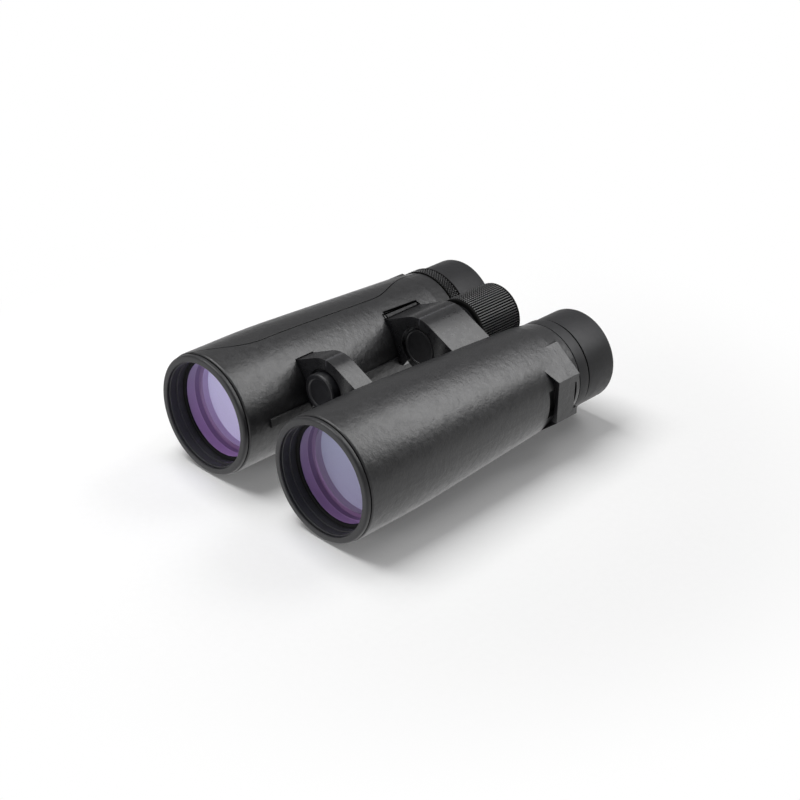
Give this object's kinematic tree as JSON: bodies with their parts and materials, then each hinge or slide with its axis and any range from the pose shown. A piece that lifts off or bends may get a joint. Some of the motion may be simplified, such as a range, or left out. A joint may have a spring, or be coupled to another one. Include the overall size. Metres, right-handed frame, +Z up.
{
  "type": "binoculars",
  "caption": "Open-bridge roof-prism binoculars: two rubber-armoured barrels folding on a split hinge, with focus wheel, dioptre ring and twist-up eyecups.",
  "frame": {"origin": "midway between the barrels at half length, on the surface that the barrels rest on", "axes": "+Z up, +Y along the optical axes to the eyepieces, +X to the user's left barrel"},
  "size_m": [0.1274, 0.1612, 0.055],
  "materials": {
    "cast_housing": "matt black paint on cast magnesium",
    "armour_rubber": "fine matt grain",
    "rim_rubber": "smooth satin",
    "eyecup_rubber": "smooth matt",
    "grip_rubber": "ribbed",
    "bridge_paint": "semi-gloss black paint",
    "blackened_aluminium": "matt black anodised",
    "black_plastic": "satin moulded",
    "steel": "turned",
    "brass": "turned",
    "coated_glass": "multi-coated, violet reflection",
    "clear_glass": "polished"
  },
  "bodies": {
    "left_barrel": {"left_housing": "cast_housing", "left_armour": "armour_rubber", "left_objective_rim": "rim_rubber", "left_objective_cell": "blackened_aluminium", "left_objective_retainer": "blackened_aluminium", "left_objective_crown": "coated_glass", "left_objective_flint": "clear_glass", "left_prism_holder": "cast_housing", "left_roof_prism": "clear_glass", "left_half_penta_prism": "clear_glass", "left_ocular_tube": "blackened_aluminium", "left_front_arm": "bridge_paint", "left_rear_arm": "bridge_paint", "left_ocular_cell": "blackened_aluminium", "left_field_lens": "clear_glass", "left_eye_lens": "clear_glass", "left_eyepiece_ring": "armour_rubber", "front_axle": "steel", "front_hinge_cap": "black_plastic", "rear_hinge_sleeve": "steel", "rear_hinge_disc": "black_plastic", "shaft_bearing": "brass"},
    "left_focusing_lens": {"left_focus_cell": "blackened_aluminium", "left_focus_lens": "clear_glass"},
    "left_cup_guide": {"left_eyecup_guide": "black_plastic"},
    "left_eyecup": {"left_eyecup_core": "black_plastic", "left_eyecup_rubber": "eyecup_rubber"},
    "right_barrel": {"right_housing": "cast_housing", "right_armour": "armour_rubber", "right_objective_rim": "rim_rubber", "right_objective_cell": "blackened_aluminium", "right_objective_retainer": "blackened_aluminium", "right_objective_crown": "coated_glass", "right_objective_flint": "clear_glass", "right_prism_holder": "cast_housing", "right_roof_prism": "clear_glass", "right_half_penta_prism": "clear_glass", "right_ocular_tube": "blackened_aluminium", "right_front_arm": "bridge_paint", "right_rear_arm": "bridge_paint"},
    "right_focusing_lens": {"right_focus_cell": "blackened_aluminium", "right_focus_lens": "clear_glass"},
    "right_ocular": {"right_ocular_cell": "blackened_aluminium", "right_field_lens": "clear_glass", "right_eye_lens": "clear_glass"},
    "right_dioptre": {"right_dioptre_ring": "armour_rubber"},
    "right_cup_guide": {"right_eyecup_guide": "black_plastic"},
    "right_eyecup": {"right_eyecup_core": "black_plastic", "right_eyecup_rubber": "eyecup_rubber"},
    "focus_drive_carriage": {"focus_carriage": "brass"},
    "focus_wheel": {"focus_shaft": "steel", "focus_wheel_core": "blackened_aluminium", "focus_wheel_grip": "grip_rubber", "focus_wheel_cap": "black_plastic"}
  },
  "joints": [
    {"name": "hinge_fold", "type": "hinge", "parent": "left_barrel", "child": "right_barrel", "pos_m": [0, 0, 0.0402], "axis": [0, -1, 0], "range_deg": [0, 47.8]},
    {"name": "focus_turn", "type": "hinge", "parent": "left_barrel", "child": "focus_wheel", "pos_m": [0, 0, 0.0402], "axis": [0, 1, 0], "range_deg": [-270, 270]},
    {"name": "carriage_slide", "type": "slide", "parent": "left_barrel", "child": "focus_drive_carriage", "axis": [0, 1, 0], "range_m": [-0.0012, 0.0012]},
    {"name": "left_focus_slide", "type": "slide", "parent": "left_barrel", "child": "left_focusing_lens", "axis": [0, 1, 0], "range_m": [-0.0012, 0.0012]},
    {"name": "right_focus_slide", "type": "slide", "parent": "right_barrel", "child": "right_focusing_lens", "axis": [0, 1, 0], "range_m": [-0.0012, 0.0012]},
    {"name": "dioptre_slide", "type": "slide", "parent": "right_barrel", "child": "right_ocular", "axis": [0, 1, 0], "range_m": [-0.001, 0.001]},
    {"name": "dioptre_turn", "type": "hinge", "parent": "right_barrel", "child": "right_dioptre", "pos_m": [-0.0362, 0, 0.0275], "axis": [0, 1, 0], "range_deg": [-60, 60]},
    {"name": "left_cup_turn", "type": "hinge", "parent": "left_barrel", "child": "left_cup_guide", "pos_m": [0.0362, 0, 0.0275], "axis": [0, 1, 0], "range_deg": [0, 120]},
    {"name": "left_cup_slide", "type": "slide", "parent": "left_cup_guide", "child": "left_eyecup", "axis": [0, 1, 0], "range_m": [0, 0.0085]},
    {"name": "right_cup_turn", "type": "hinge", "parent": "right_barrel", "child": "right_cup_guide", "pos_m": [-0.0362, 0, 0.0275], "axis": [0, 1, 0], "range_deg": [0, 120]},
    {"name": "right_cup_slide", "type": "slide", "parent": "right_cup_guide", "child": "right_eyecup", "axis": [0, 1, 0], "range_m": [0, 0.0085]}
  ],
  "couplings": [
    {"joint": "carriage_slide", "follows": "focus_turn", "m_per_rad": 0.00025462},
    {"joint": "left_focus_slide", "follows": "focus_turn", "m_per_rad": 0.00025462},
    {"joint": "right_focus_slide", "follows": "focus_turn", "m_per_rad": 0.00025462},
    {"joint": "dioptre_turn", "follows": "dioptre_slide", "rad_per_m": 1047.1},
    {"joint": "left_cup_slide", "follows": "left_cup_turn", "m_per_rad": 0.004058},
    {"joint": "right_cup_slide", "follows": "right_cup_turn", "m_per_rad": 0.004058}
  ]
}
